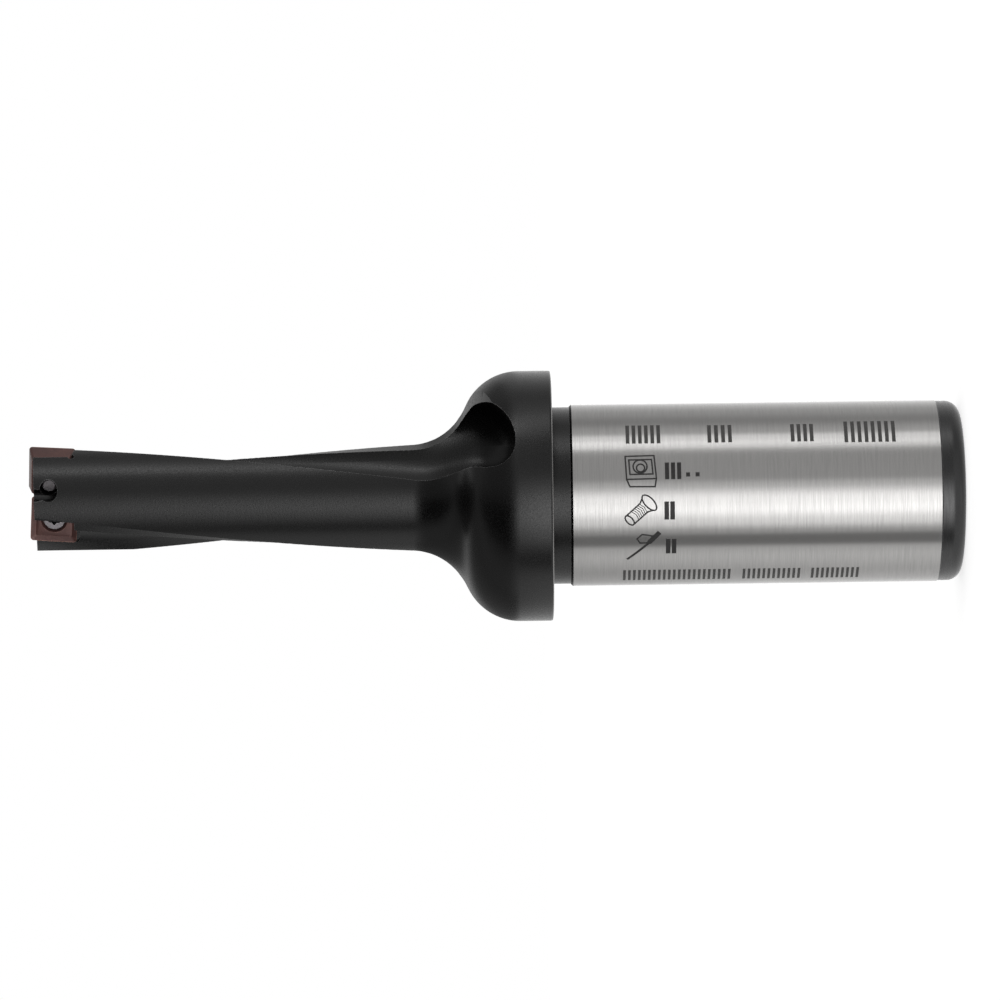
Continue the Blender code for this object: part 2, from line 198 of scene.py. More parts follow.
TWIST = math.radians(1.04) / 0.001
MILL_R = 0.0050
MILL_CORNER = 0.0049
WEB_HALF = 0.0012
RUNOUT_LIFT = 0.0018
RUNOUT_L = 0.0080
RUNOUT_END = NECK_START + 0.0091
HEEL_DEPTH = 0.0012
HEEL_LEAN = 0.4
HEEL_TURN = NECK_END - 0.0006
HEEL_RISE = 1.4
HEEL_REACH = 0.0040
HEEL_STEPS = 40
FLUTE_STEPS = 80
CORNER_STEPS = 8
END_STEPS = 14
NOSE_STOP = math.radians(86.0)
HALVINGS = 40
SLIVER = 0.00006


def flute_angle(below, side):
    return -TWIST * below + math.pi * side


def flute_lift(below):
    share = max(0.0, min(1.0 + (below - RUNOUT_END) / RUNOUT_L, 1.0))
    return RUNOUT_LIFT * share * share * (3.0 - 2.0 * share)


def flute_section(below):
    """Where the mill's side and rounded corner cross a level of the drill."""
    middle = flute_lift(below) + MILL_R
    past = max(0.0, below - RUNOUT_END)
    flat = MILL_R - MILL_CORNER
    start = math.asin(max(0.0, (past - flat) / MILL_CORNER))
    wall = []
    for i in range(CORNER_STEPS + 1):
        angle = start + (math.pi / 2.0 - start) * i / CORNER_STEPS
        radius = flat + MILL_CORNER * math.sin(angle)
        half = max(math.sqrt(max(0.0, radius**2 - past**2)), SLIVER)
        wall.append((WEB_HALF + MILL_CORNER * (1.0 - math.cos(angle)), half))
    wall.append((REACH, wall[-1][1]))
    near = [(x, middle - half) for x, half in wall[::-1]]
    return near + [(x, middle + half) for x, half in wall]


def flute(side):
    levels = []
    for step in range(FLUTE_STEPS + 1):
        levels.append(-2.0 * PROUD + (RUNOUT_END + 2.0 * PROUD) * step / FLUTE_STEPS)
    for step in range(1, END_STEPS + 1):
        levels.append(RUNOUT_END + MILL_R * math.sin(NOSE_STOP * step / END_STEPS))
    rings = []
    for below in levels:
        turn = Matrix.Rotation(flute_angle(below, side), 4, "Z")
        rings.append([turn @ Vector((x, y, LENGTH - below)) for x, y in flute_section(below)])
    return lofted("flute_%d" % side, rings)


def heel_radius(below):
    """The turned radius the heel mill follows: up the neck, then straight on into the dome."""
    return turned_radius(min(below, HEEL_TURN)) + HEEL_RISE * max(0.0, below - HEEL_TURN)


def trailing_edge(below):
    """Where the flute's far side meets the heel mill's radius, and the way off that side."""
    radius = heel_radius(below)
    wall = flute_lift(below) + 2.0 * MILL_R
    low, high = WEB_HALF, radius
    for _ in range(HALVINGS):
        x = (low + high) / 2.0
        lean = max(0.0, 1.0 - (x - WEB_HALF) / MILL_CORNER)
        y = wall - MILL_CORNER * (1.0 - math.sqrt(1.0 - lean**2))
        if math.hypot(x, y) < radius:
            low = x
        else:
            high = x
    return Vector((x, y)), Vector((lean, -math.sqrt(1.0 - lean**2)))


def heel_break(side):
    """The flat milled along the flute's trailing edge, up the neck and out through the dome."""
    levels = [-2.0 * PROUD + (HEEL_TURN + 2.0 * PROUD) * i / FLUTE_STEPS for i in range(FLUTE_STEPS + 1)]
    levels += [HEEL_TURN + (DOME_START - HEEL_TURN) * i / HEEL_STEPS for i in range(1, HEEL_STEPS + 1)]
    rings = []
    for below in levels:
        edge, off = trailing_edge(below)
        out = (edge.normalized() + HEEL_LEAN * off).normalized()
        across = HEEL_REACH * Vector((-out.y, out.x))
        low = edge - HEEL_DEPTH * out
        corners = (low - across, low - across + REACH * out, low + across + REACH * out, low + across)
        turn = Matrix.Rotation(flute_angle(below, side), 4, "Z")
        rings.append([turn @ Vector((corner.x, corner.y, LENGTH - below)) for corner in corners])
    return lofted("heel_break_%d" % side, rings)


for side in (0, 1):
    milling += [flute(side), heel_break(side)]


# ---- Front of the lands
# The two lands end in faces that fall away behind their inserts, and the inner land
# is relieved by a shallow flat so that it clears the hole it drills.

FACE_BACK = 0.00085
FACE_FALL = math.radians(4.0)
RELIEF_FLAT = 0.00665
RELIEF_FLAT_ANGLE = math.radians(197.0)
RELIEF_FLAT_L = 0.0200

front = LENGTH - FACE_BACK
fall = REACH * math.tan(FACE_FALL)
relief_low = (RELIEF_FLAT, -BODY_R, LENGTH - RELIEF_FLAT_L)
relief_high = (REACH, BODY_R, LENGTH + 2.0 * PROUD)
milling.append(block("land_relief", relief_low, relief_high, Matrix.Rotation(RELIEF_FLAT_ANGLE, 4, "Z")))
ridge = [(-REACH, front - fall), (0.0, front), (REACH, front - fall)]
ridge += [(REACH, front + REACH), (-REACH, front + REACH)]
milling.append(lofted("front_faces", [[Vector((x, y, z)) for y, z in ridge] for x in (-REACH, REACH)]))


# ---- Coolant channels
# Two small channels follow the lands from the bore in the shank and leave the front
# through slanting outlets beside the insert screws.

CHANNEL_R = 0.00095
CHANNEL_ORBIT = 0.0050
CHANNEL_STEPS = 30
CHANNEL_SIDES = 24
INWARD_STEPS = 4.0
OUTLET_ORBIT = 0.0076
OUTLET_RUN = 0.0080
OUTLET_ANGLE = math.radians(-66.0)


def around(angle, radius, z):
    return Vector((radius * math.cos(angle), radius * math.sin(angle), z))


def channel(side):
    half_turn = math.pi * side
    bottom = INLET_DEPTH - INLET_R
    slope = (OUTLET_ORBIT - CHANNEL_ORBIT) / OUTLET_RUN
    points = [around(OUTLET_ANGLE + half_turn, OUTLET_ORBIT + slope * 2.0 * PROUD, front + 2.0 * PROUD)]
    for i in range(CHANNEL_STEPS + 1):
        z = front - OUTLET_RUN - (front - OUTLET_RUN - bottom) * i / CHANNEL_STEPS
        angle = OUTLET_ANGLE + TWIST * (z - front + OUTLET_RUN) + half_turn
        inward = max(0.0, i - CHANNEL_STEPS + INWARD_STEPS) / INWARD_STEPS
        points.append(around(angle, CHANNEL_ORBIT + (INLET_R - CHANNEL_R - CHANNEL_ORBIT) * inward, z))
    rings = []
    for i, point in enumerate(points):
        ahead = points[min(i + 1, len(points) - 1)] - points[max(i - 1, 0)]
        across = ahead.cross(Vector((0.0, 0.0, 1.0)).cross(ahead)).normalized()
        beside = ahead.cross(across).normalized()
        circle = arc((0.0, 0.0), CHANNEL_R, 0.0, 360.0, CHANNEL_SIDES)[:-1]
        rings.append([point + across * x + beside * y for x, y in circle])
    return lofted("coolant_channel_%d" % side, rings)


milling += [channel(side) for side in (0, 1)]


# ---- Insert seats
# Each insert sits in a milled pocket, against a drafted rear wall with an undercut at its
# foot. The screw hole goes through the land and shows on the far side.

INSERT_SIDE = 0.00635
INSERT_T = 0.00278
INSERT_CORNER = 0.00045
CLEARANCE = math.radians(11.0)
SEAT_GAP = 0.00006
WALL_GAP = 0.00008
CORNER_MILL_R = 0.0006
CORNER_MILL_IN = 0.0002
UNDERCUT_R = 0.00045
OUTER_RAKE = math.radians(8.0)
OUTER_TURN = math.radians(3.5)
INNER_TURN = math.radians(-4.0)
CUT_R = 0.0080
INNER_CUT_R = 0.0058
INNER_ACCESS = 0.0090
INNER_ACCESS_LEAN = 0.2
INNER_PAST = 0.0003
INNER_REAR_GAP = 0.0004
INNER_REAR_DEPTH = 0.0012
INNER_SIDE_GAP = 0.0001
HOLE_R = 0.00125
HOLE_STEPS = 48
SMALL_MILL_STEPS = 24
CORNER_MILL_STEPS = 8


def insert_place(side, cut_radius, rake, turn):
    """Brings the square's outermost edge to its cutting radius; +Z leaves the rake face."""
    straight = INSERT_SIDE / 2.0 - INSERT_CORNER
    half_width = straight * (math.cos(turn) + abs(math.sin(turn))) + INSERT_CORNER
    edge = Vector((cut_radius, 0.0, LENGTH - half_width))
    back = Matrix.Rotation(-rake, 4, "Z") @ Vector((-half_width, 0.0, 0.0))
    stand = Matrix.Rotation(-rake, 4, "Z") @ Matrix.Rotation(-math.pi / 2.0, 4, "X")
    place = Matrix.Translation(edge + back) @ stand @ Matrix.Rotation(turn, 4, "Z")
    return Matrix.Rotation(math.pi * side, 4, "Z") @ place


def pocket(name, place, inner, outer, access, lean):
    rear = INSERT_SIDE / 2.0 + WALL_GAP
    rings = []
    for z in (-INSERT_T - SEAT_GAP, 0.0, access):
        draft = math.tan(CLEARANCE) * min(z, 0.0)
        near, far = inner - draft + lean * max(z, 0.0), outer + draft
        corners = ((near, rear + draft), (far, rear + draft), (far, -REACH), (near, -REACH))
        rings.append([place @ Vector((x, y, z)) for x, y in corners])
    return lofted(name, rings)


def bar(name, radius, low, high, steps, place):
    return turned(name, [(0.0, high), (radius, high), (radius, low), (0.0, low)], steps, place)


def undercut(name, place, inner, outer):
    rear = INSERT_SIDE / 2.0 + WALL_GAP - math.tan(CLEARANCE) * INSERT_T
    across = Matrix.Translation((0.0, rear, -INSERT_T)) @ Matrix.Rotation(math.pi / 2.0, 4, "Y")
    return bar(name, UNDERCUT_R, inner, outer, SMALL_MILL_STEPS, place @ across)


def rear_gap(name, place, inner, outer):
    rear = INSERT_SIDE / 2.0 + INNER_REAR_GAP
    centre = (outer - CORNER_MILL_R, rear - CORNER_MILL_R)
    corner = arc(centre, CORNER_MILL_R, 0.0, 90.0, CORNER_MILL_STEPS)
    outline = [(inner, 0.0), (outer, 0.0)] + corner + [(inner, rear)]
    rings = [[place @ Vector((x, y, z)) for x, y in outline] for z in (-INNER_REAR_DEPTH, PROUD)]
    return lofted(name, rings)


OUTER_PLACE = insert_place(0, CUT_R, OUTER_RAKE, OUTER_TURN)
INNER_PLACE = insert_place(1, INNER_CUT_R, 0.0, INNER_TURN)
half_seat = INSERT_SIDE / 2.0 + WALL_GAP
inner_wall = -half_seat - INNER_PAST
corner_place = Matrix.Translation((CORNER_MILL_IN - half_seat, half_seat, 0.0))
milling += [
    bar("outer_screw_hole", HOLE_R, -REACH, -INSERT_T / 2.0, HOLE_STEPS, OUTER_PLACE),
    pocket("outer_pocket", OUTER_PLACE, -half_seat, REACH, PROUD, 0.0),
    undercut("outer_undercut", OUTER_PLACE, -half_seat, REACH),
    bar("outer_corner", CORNER_MILL_R, -INSERT_T, PROUD, SMALL_MILL_STEPS, OUTER_PLACE @ corner_place),
    bar("inner_screw_hole", HOLE_R, -REACH, -INSERT_T / 2.0, HOLE_STEPS, INNER_PLACE),
    pocket("inner_pocket", INNER_PLACE, inner_wall, half_seat, INNER_ACCESS, INNER_ACCESS_LEAN),
    undercut("inner_undercut", INNER_PLACE, inner_wall, half_seat),
    rear_gap("inner_rear_gap", INNER_PLACE, inner_wall, half_seat + INNER_SIDE_GAP),
]


# ---- Body, cut and finished
# The milled body is blacked all over; then the shank is ground bright between the collar
# at its end and the relief behind the flange, which leaves fine rings round it. The
# flange's back edge gets the bright ground finish too, as a painted highlight line.

FLANGE_HIGHLIGHT_FROM = SHANK_L + 0.0000075
FLANGE_HIGHLIGHT_TO = SHANK_L + 0.00012
BODY_CREASE = math.radians(16.0)
# Oxide edges are lighter: partly wear, partly a painted highlight along each edge.
OXIDE_WEAR_AND_HIGHLIGHT = (0.240, 0.238, 0.240)
STEEL = (0.350, 0.345, 0.338)
STEEL_DULL = (0.320, 0.315, 0.310)


def cut(piece, cutters, sharp_from):
    """Takes each cutter out of the piece, then uses the cutters up."""
    for cutter in cutters:
        step = piece.modifiers.new(cutter.name, "BOOLEAN")
        step.solver = "EXACT"
        step.operation = "DIFFERENCE"
        step.object = cutter
    graph = bpy.context.evaluated_depsgraph_get()
    mesh = bpy.data.meshes.new_from_object(piece.evaluated_get(graph))
    piece.modifiers.clear()
    piece.data = mesh
    for cutter in cutters:
        bpy.data.objects.remove(cutter, do_unlink=True)
    mesh.shade_smooth()
    mesh.set_sharp_from_angle(angle=sharp_from)


def finish_named(name):
    """A new material: its node tree, its shader, and object coordinates to place it by."""
    made = bpy.data.materials.new(name)
    made.use_nodes = True
    tree = made.node_tree
    place = tree.nodes.new("ShaderNodeTexCoord").outputs["Object"]
    return made, tree, tree.nodes["Principled BSDF"], place


def grain(tree, place, scale, detail, stretch=(1.0, 1.0, 1.0)):
    """Noise at so many grains a metre, drawn out along the axes that stretch shortens."""
    mapping = tree.nodes.new("ShaderNodeMapping")
    mapping.inputs["Scale"].default_value = stretch
    noise = tree.nodes.new("ShaderNodeTexNoise")
    noise.inputs["Scale"].default_value = scale
    noise.inputs["Detail"].default_value = detail
    tree.links.new(place, mapping.inputs["Vector"])
    tree.links.new(mapping.outputs["Vector"], noise.inputs["Vector"])
    return noise.outputs["Fac"]


def ramp(tree, factor, low, high, stops=(0.35, 0.65)):
    """From one colour or value to another, as the factor goes between the stops."""
    node = tree.nodes.new("ShaderNodeValToRGB")
    for element, position, tone in zip(node.color_ramp.elements, stops, (low, high)):
        element.position = position
        element.color = (*tone, 1.0) if isinstance(tone, tuple) else (tone, tone, tone, 1.0)
    tree.links.new(factor, node.inputs["Fac"])
    return node.outputs["Color"]


def bumped(tree, shader, height, depth, strength=1.0):
    node = tree.nodes.new("ShaderNodeBump")
    node.inputs["Distance"].default_value = depth
    node.inputs["Strength"].default_value = strength
    tree.links.new(height, node.inputs["Height"])
    tree.links.new(node.outputs["Normal"], shader.inputs["Normal"])
    return node


# Where edges are lightened: partly wear, partly a painted highlight in place of light caught by a
# round-over.
def edge_wear_and_highlight(tree, width, stops):
    """1 on an edge, 0 on a face: how far a round-over this wide would turn the surface."""
    bevel = tree.nodes.new("ShaderNodeBevel")
    bevel.samples = 6
    bevel.inputs["Radius"].default_value = width
    geometry = tree.nodes.new("ShaderNodeNewGeometry")
    likeness = tree.nodes.new("ShaderNodeVectorMath")
    likeness.operation = "DOT_PRODUCT"
    tree.links.new(bevel.outputs["Normal"], likeness.inputs[0])
    tree.links.new(geometry.outputs["Normal"], likeness.inputs[1])
    return ramp(tree, likeness.outputs["Value"], 1.0, 0.0, stops)


def mixed(tree, factor, first, second):
    node = tree.nodes.new("ShaderNodeMix")
    node.data_type = "RGBA"
    tree.links.new(factor, node.inputs["Factor"])
    for value, socket in ((first, node.inputs["A"]), (second, node.inputs["B"])):
        if isinstance(value, tuple):
            socket.default_value = (*value, 1.0)
        else:
            tree.links.new(value, socket)
    return node.outputs["Result"]


def black_oxide():
    made, tree, shader, place = finish_named("black_oxide")
    fine = grain(tree, place, 4200.0, 3.0)
    cloudy = grain(tree, place, 260.0, 2.0)
    patches = ramp(tree, cloudy, (0.0032, 0.0030, 0.0031), (0.0048, 0.0045, 0.0046))
    speckled = mixed(tree, ramp(tree, fine, 0.0, 1.0, (0.52, 0.74)), patches, (0.009, 0.009, 0.0093))
    # The edges go lighter: wear, and a painted highlight.
    edge = edge_wear_and_highlight(tree, 0.00016, (0.62, 0.93))
    tree.links.new(mixed(tree, edge, speckled, OXIDE_WEAR_AND_HIGHLIGHT), shader.inputs["Base Color"])
    tree.links.new(ramp(tree, fine, 0.25, 0.34), shader.inputs["Roughness"])
    shader.inputs["Specular IOR Level"].default_value = 0.33
    bumped(tree, shader, fine, 0.000012, 0.6)
    return made


def ground_steel():
    made, tree, shader, place = finish_named("ground_steel")
    rings = grain(tree, place, 1.0, 5.0, (260.0, 260.0, 9000.0))
    broad = grain(tree, place, 1.0, 3.0, (40.0, 40.0, 1600.0))
    tone = mixed(tree, ramp(tree, rings, 0.0, 1.0), STEEL_DULL, STEEL)
    tree.links.new(mixed(tree, ramp(tree, broad, 0.0, 0.35), tone, STEEL), shader.inputs["Base Color"])
    shader.inputs["Metallic"].default_value = 1.0
    tree.links.new(ramp(tree, rings, 0.26, 0.23), shader.inputs["Roughness"])
    shader.inputs["Anisotropic"].default_value = 0.9
    shader.inputs["Anisotropic Rotation"].default_value = 0.25
    tangent = tree.nodes.new("ShaderNodeTangent")
    tangent.direction_type = "RADIAL"
    tangent.axis = "Z"
    tree.links.new(tangent.outputs["Tangent"], shader.inputs["Tangent"])
    bumped(tree, shader, rings, 0.0000003, 0.3)
    return made


def collar_oxide():
    made, tree, shader, place = finish_named("collar_oxide")
    rings = grain(tree, place, 1.0, 3.0, (300.0, 300.0, 3800.0))
    tone = ramp(tree, rings, (0.008, 0.008, 0.0085), (0.014, 0.014, 0.0148))
    # Its edges go lighter too: wear, and a painted highlight.
    edge = edge_wear_and_highlight(tree, 0.00010, (0.90, 0.995))
    tree.links.new(mixed(tree, edge, tone, OXIDE_WEAR_AND_HIGHLIGHT), shader.inputs["Base Color"])
    tree.links.new(ramp(tree, rings, 0.32, 0.24), shader.inputs["Roughness"])
    bumped(tree, shader, rings, 0.000003, 0.5)
    return made


def painted_hole_shade():
    """A near-black, dull finish down in a hole or a socket, as painted shade."""
    made, tree, shader, place = finish_named("painted_hole_shade")
    fine = grain(tree, place, 5000.0, 3.0)
    tone = ramp(tree, fine, (0.003, 0.003, 0.003), (0.008, 0.007, 0.007))
    tree.links.new(tone, shader.inputs["Base Color"])
    tree.links.new(ramp(tree, fine, 0.50, 0.65), shader.inputs["Roughness"])
    shader.inputs["Specular IOR Level"].default_value = 0.15
    return made


def in_screw_hole(spot):
    holes = (place.inverted() @ spot for place in (OUTER_PLACE, INNER_PLACE))
    return any(p.z < -INSERT_T - SLIVER and math.hypot(p.x, p.y) < HOLE_R + SLIVER for p in holes)


cut(drill_body, milling, BODY_CREASE)
for finish in (black_oxide(), ground_steel(), collar_oxide(), painted_hole_shade()):
    drill_body.data.materials.append(finish)
for face in drill_body.data.polygons:
    height = face.center.z
    radius = math.hypot(face.center.x, face.center.y)
    bored = radius < INLET_R + INLET_EDGE
    # The flange's rounded back edge takes the ground steel: a painted highlight line.
    flange_highlight = radius > FLANGE_R - FLANGE_EDGE and FLANGE_HIGHLIGHT_FROM < height < FLANGE_HIGHLIGHT_TO
    if flange_highlight or not bored and END_W < height < SHANK_L - RELIEF_W - SHANK_EDGE:
        face.material_index = 1
    elif not bored and height < END_W:
        face.material_index = 2
    # The walls of the screw holes take the near-black finish, as painted shade.
    elif in_screw_hole(face.center):
        face.material_index = 3
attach(drill_body, "root")
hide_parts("drill_body")


# ---- Inserts
# Two square inserts of sintered carbide with a red-brown coating: drafted sides, a ground
# edge, a pressed chip breaker round the face, and a countersunk bore for the screw.

RIM_W = 0.00095
RIM_GROOVE = 0.00070
RIM_CORNER = 0.5
RIM_DEPTH = 0.00022
FLOOR_DEPTH = 0.00014
SINK_R = 0.0019
SINK_DEPTH = 0.0009
INSERT_BORE_R = 0.0013
INSERT_BORE_STEPS = 64
INSERT_CORNER_STEPS = 10
INSERT_CREASE = math.radians(25.0)


def rounded_square(half, corner, z):
    ring = []
    for quarter in range(4):
        turn = Matrix.Rotation(quarter * math.pi / 2.0, 4, "Z")
        for x, y in arc((half - corner, half - corner), corner, 0.0, 90.0, INSERT_CORNER_STEPS):
            ring.append(turn @ Vector((x, y, z)))
    return ring


def insert_blank(name, place):
    half = INSERT_SIDE / 2.0
    draft = INSERT_T * math.tan(CLEARANCE)
    rings = [
        rounded_square(half - draft, INSERT_CORNER, -INSERT_T),
        rounded_square(half, INSERT_CORNER, 0.0),
        rounded_square(half - RIM_GROOVE, INSERT_CORNER * RIM_CORNER, -RIM_DEPTH),
        rounded_square(half - RIM_W, INSERT_CORNER * RIM_CORNER, -FLOOR_DEPTH),
    ]
    return lofted(name, [[place @ point for point in ring] for ring in rings])


def insert_bore(name, place):
    profile = [(0.0, PROUD), (SINK_R, PROUD), (SINK_R, -FLOOR_DEPTH)]
    profile += [(INSERT_BORE_R, -FLOOR_DEPTH - SINK_DEPTH), (INSERT_BORE_R, -INSERT_T - PROUD)]
    profile.append((0.0, -INSERT_T - PROUD))
    return turned(name, profile, INSERT_BORE_STEPS, place)


def coated_carbide():
    made, tree, shader, place = finish_named("coated_carbide")
    fine = grain(tree, place, 6000.0, 3.0)
    cloudy = grain(tree, place, 500.0, 2.0)
    tone = ramp(tree, cloudy, (0.105, 0.044, 0.038), (0.152, 0.064, 0.052))
    speckled = mixed(tree, ramp(tree, fine, 0.0, 0.5), tone, (0.080, 0.036, 0.034))
    # The edges go a lighter red-brown: wear, and a painted highlight.
    edge = edge_wear_and_highlight(tree, 0.00014, (0.86, 0.99))
    tree.links.new(mixed(tree, edge, speckled, (0.420, 0.220, 0.180)), shader.inputs["Base Color"])
    shader.inputs["Metallic"].default_value = 0.2
    tree.links.new(ramp(tree, fine, 0.38, 0.50), shader.inputs["Roughness"])
    bumped(tree, shader, fine, 0.000004, 0.5)
    return made


carbide = coated_carbide()
for name, place in (("outer_insert", OUTER_PLACE), ("inner_insert", INNER_PLACE)):
    made = insert_blank("dressed_" + name, place)
    cut(made, [insert_bore(name + "_bore", place)], INSERT_CREASE)
    made.data.materials.append(carbide)
    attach(made, "root")
    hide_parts(name)


# ---- Insert screws
# Small countersunk screws of dark steel with a six-lobed socket; the rolled thread holds
# in the land and its end stays down in the hole on the far side.

HEAD_R = 0.0016
HEAD_H = 0.0010
HEAD_SUNK = 0.0003
HEAD_EDGE = 0.00012
SCREW_R = 0.0011
SCREW_L = 0.0053
SCREW_TIP = 0.0003
THREAD_PITCH = 0.00045
THREAD_DEPTH = 0.00025
THREAD_STEEP = 1.25
SOCKET_R = 0.00083
SOCKET_WAVE = 0.00012
SOCKET_DEPTH = 0.0008
SOCKET_STEPS = 72
LOBES = 6
SCREW_STEPS = 48
ROWS_A_TURN = 12
SCREW_CREASE = math.radians(30.0)


def threaded_screw(name, place):
    """Head, then rows down the thread: each point's radius follows the helix's phase."""
    top = -HEAD_SUNK
    end = top - SCREW_L
    head = [(HEAD_R - HEAD_EDGE, top), (HEAD_R, top - HEAD_EDGE), (HEAD_R, top - 2.0 * HEAD_EDGE)]
    rows = [[(radius, z)] * SCREW_STEPS for radius, z in head]
    shoulder = top - HEAD_H
    rows.append([(SCREW_R, shoulder)] * SCREW_STEPS)
    count = int((shoulder - end) / THREAD_PITCH * ROWS_A_TURN)
    for step in range(1, count + 1):
        z = shoulder - (shoulder - end) * step / count
        fade = min(1.0, (shoulder - z) / THREAD_PITCH)
        tip = min(1.0, (z - end) / SCREW_TIP)
        row = []
        for i in range(SCREW_STEPS):
            phase = (z / THREAD_PITCH + i / SCREW_STEPS) % 1.0
            flank = abs(2.0 * phase - 1.0)
            groove = THREAD_DEPTH * fade * min(1.0, THREAD_STEEP * flank)
            row.append((min(SCREW_R - groove, SCREW_R - SCREW_TIP * (1.0 - tip)), z))
        rows.append(row)
    rings = []
    for row in rows:
        turns = [2.0 * math.pi * i / SCREW_STEPS for i in range(SCREW_STEPS)]
        rings.append([place @ around(angle, radius, z) for angle, (radius, z) in zip(turns, row)])
    return lofted(name, rings)


def socket(name, place):
    rings = []
    for z in (-HEAD_SUNK - SOCKET_DEPTH, PROUD):
        ring = []
        for i in range(SOCKET_STEPS):
            angle = 2.0 * math.pi * i / SOCKET_STEPS
            ring.append(place @ around(angle, SOCKET_R + SOCKET_WAVE * math.cos(LOBES * angle), z))
        rings.append(ring)
    return lofted(name, rings)


def screw_steel():
    made, tree, shader, place = finish_named("screw_steel")
    fine = grain(tree, place, 5000.0, 3.0)
    tone = ramp(tree, fine, (0.150, 0.139, 0.145), (0.240, 0.226, 0.235))
    # The edges go lighter: wear, and a painted highlight.
    edge = edge_wear_and_highlight(tree, 0.00008, (0.88, 0.99))
    tree.links.new(mixed(tree, edge, tone, (0.36, 0.34, 0.35)), shader.inputs["Base Color"])
    shader.inputs["Metallic"].default_value = 0.8
    tree.links.new(ramp(tree, fine, 0.32, 0.44), shader.inputs["Roughness"])
    bumped(tree, shader, fine, 0.000003, 0.5)
    return made


screw_finishes = screw_steel(), painted_hole_shade()
for name, place in (("outer_insert_screw", OUTER_PLACE), ("inner_insert_screw", INNER_PLACE)):
    made = threaded_screw("dressed_" + name, place)
    cut(made, [socket(name + "_socket", place)], SCREW_CREASE)
    for finish in screw_finishes:
        made.data.materials.append(finish)
    for face in made.data.polygons:
        spot = place.inverted() @ face.center
        # The socket's walls and floor take the near-black finish, as painted shade.
        if spot.z < -HEAD_SUNK - SLIVER and math.hypot(spot.x, spot.y) < SOCKET_R + SOCKET_WAVE:
            face.material_index = 1 if spot.z > -HEAD_SUNK - SOCKET_DEPTH - SLIVER else 0
    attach(made, "root")
    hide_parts(name)


# ---- Marks on the shank
# Dark laser marks on the ground surface, in rows along the shank: plain blocks, and simple
# outlines of the insert, its screw and its key. Each is a very thin skin bent to the shank,
# and the rows nearest the edges are burned more lightly.

MM = 0.001
MARK_T = 0.000012
MARK_LIFT = 0.000006
MARK_STEP = 0.0004
LINE = 0.00021
LIGHT_ABOVE = 0.0069
LIGHT_BELOW = -0.0115
BURNS = [
    ("laser_black", (0.006, 0.006, 0.006), (0.034, 0.032, 0.031)),
    ("laser_grey", (0.036, 0.035, 0.033), (0.100, 0.097, 0.093)),
]
FACING = math.radians(-73.0)
# In millimetres, along from the flange's back and round the shank from the side that faces
# the front. A row of blocks: its start, how many, their pitch and width, its top and bottom.
BLOCK_ROWS = [
    (9.95, 6, 0.84, 0.50, 10.60, 7.30), (21.05, 4, 0.93, 0.52, 10.45, 7.30),
    (32.35, 4, 0.86, 0.50, 10.45, 7.30), (39.60, 8, 0.92, 0.50, 10.85, 7.05),
    (9.45, 22, 0.68, 0.36, -12.10, -15.10), (25.75, 12, 0.68, 0.36, -12.10, -15.10),
    (35.10, 10, 0.68, 0.36, -12.10, -15.10), (15.15, 3, 0.82, 0.56, 4.35, 2.00),
    (15.00, 2, 0.80, 0.62, -1.00, -3.50), (15.20, 2, 0.80, 0.62, -6.35, -8.75),
    (18.00, 2, 1.28, 0.54, 2.92, 2.34),
]
INSERT_LINES = [
    [(9.80, 5.32), (13.70, 5.40), (13.98, 2.12), (9.95, 2.05)],
    [(10.28, 4.79), (13.36, 4.82), (13.52, 2.76), (10.42, 2.73)],
    [(11.80 + 0.94 * math.cos(a), 3.83 + 0.94 * math.sin(a)) for a in (math.pi * i / 12 for i in range(24))],
    [(11.86 + 0.55 * math.cos(a), 3.62 + 0.55 * math.sin(a)) for a in (math.pi * i / 10 for i in range(20))],
]
INSERT_SKIRT = [(9.95, 2.05), (10.38, 1.06), (13.78, 1.02), (13.98, 2.12)]
SCREW_AT = (11.75, -2.25)
SCREW_LEAN = math.radians(42.0)
SCREW_HEAD = (1.65, 0.0, 0.62, 1.30)
SCREW_END = (-1.95, 0.0, 0.42, 0.80)
SCREW_EDGE = [(-1.95, 0.78), (0.65, 0.78), (1.40, 1.131)]
SCREW_TURN = [(-0.95, -0.70), (-0.75, 0.0), (-0.95, 0.70)]
SCREW_TURNS = 6
SCREW_PITCH = 0.3
KEY_SHANK = [(9.95, -9.75), (13.20, -6.65)]
KEY_SHANK_W = 1.6 * LINE
KEY_END = [(12.90, -6.90), (14.35, -5.32)]
KEY_END_W = 3.2 * LINE
KEY_WING = [(11.30, -6.28), (11.98, -5.62), (13.42, -5.86), (12.75, -6.92), (11.68, -6.95)]


def fine(points, looped):
    """The same line with a point at least every step, so that it keeps to the round shank."""
    ends = list(zip(points, points[1:])) + ([(points[-1], points[0])] if looped else [])
    found = []
    for start, end in ends:
        start, end = MM * Vector(start), MM * Vector(end)
        steps = max(1, math.ceil((end - start).length / MARK_STEP))
        found += [start.lerp(end, i / steps) for i in range(steps)]
    return found if looped else found + [MM * Vector(points[-1])]


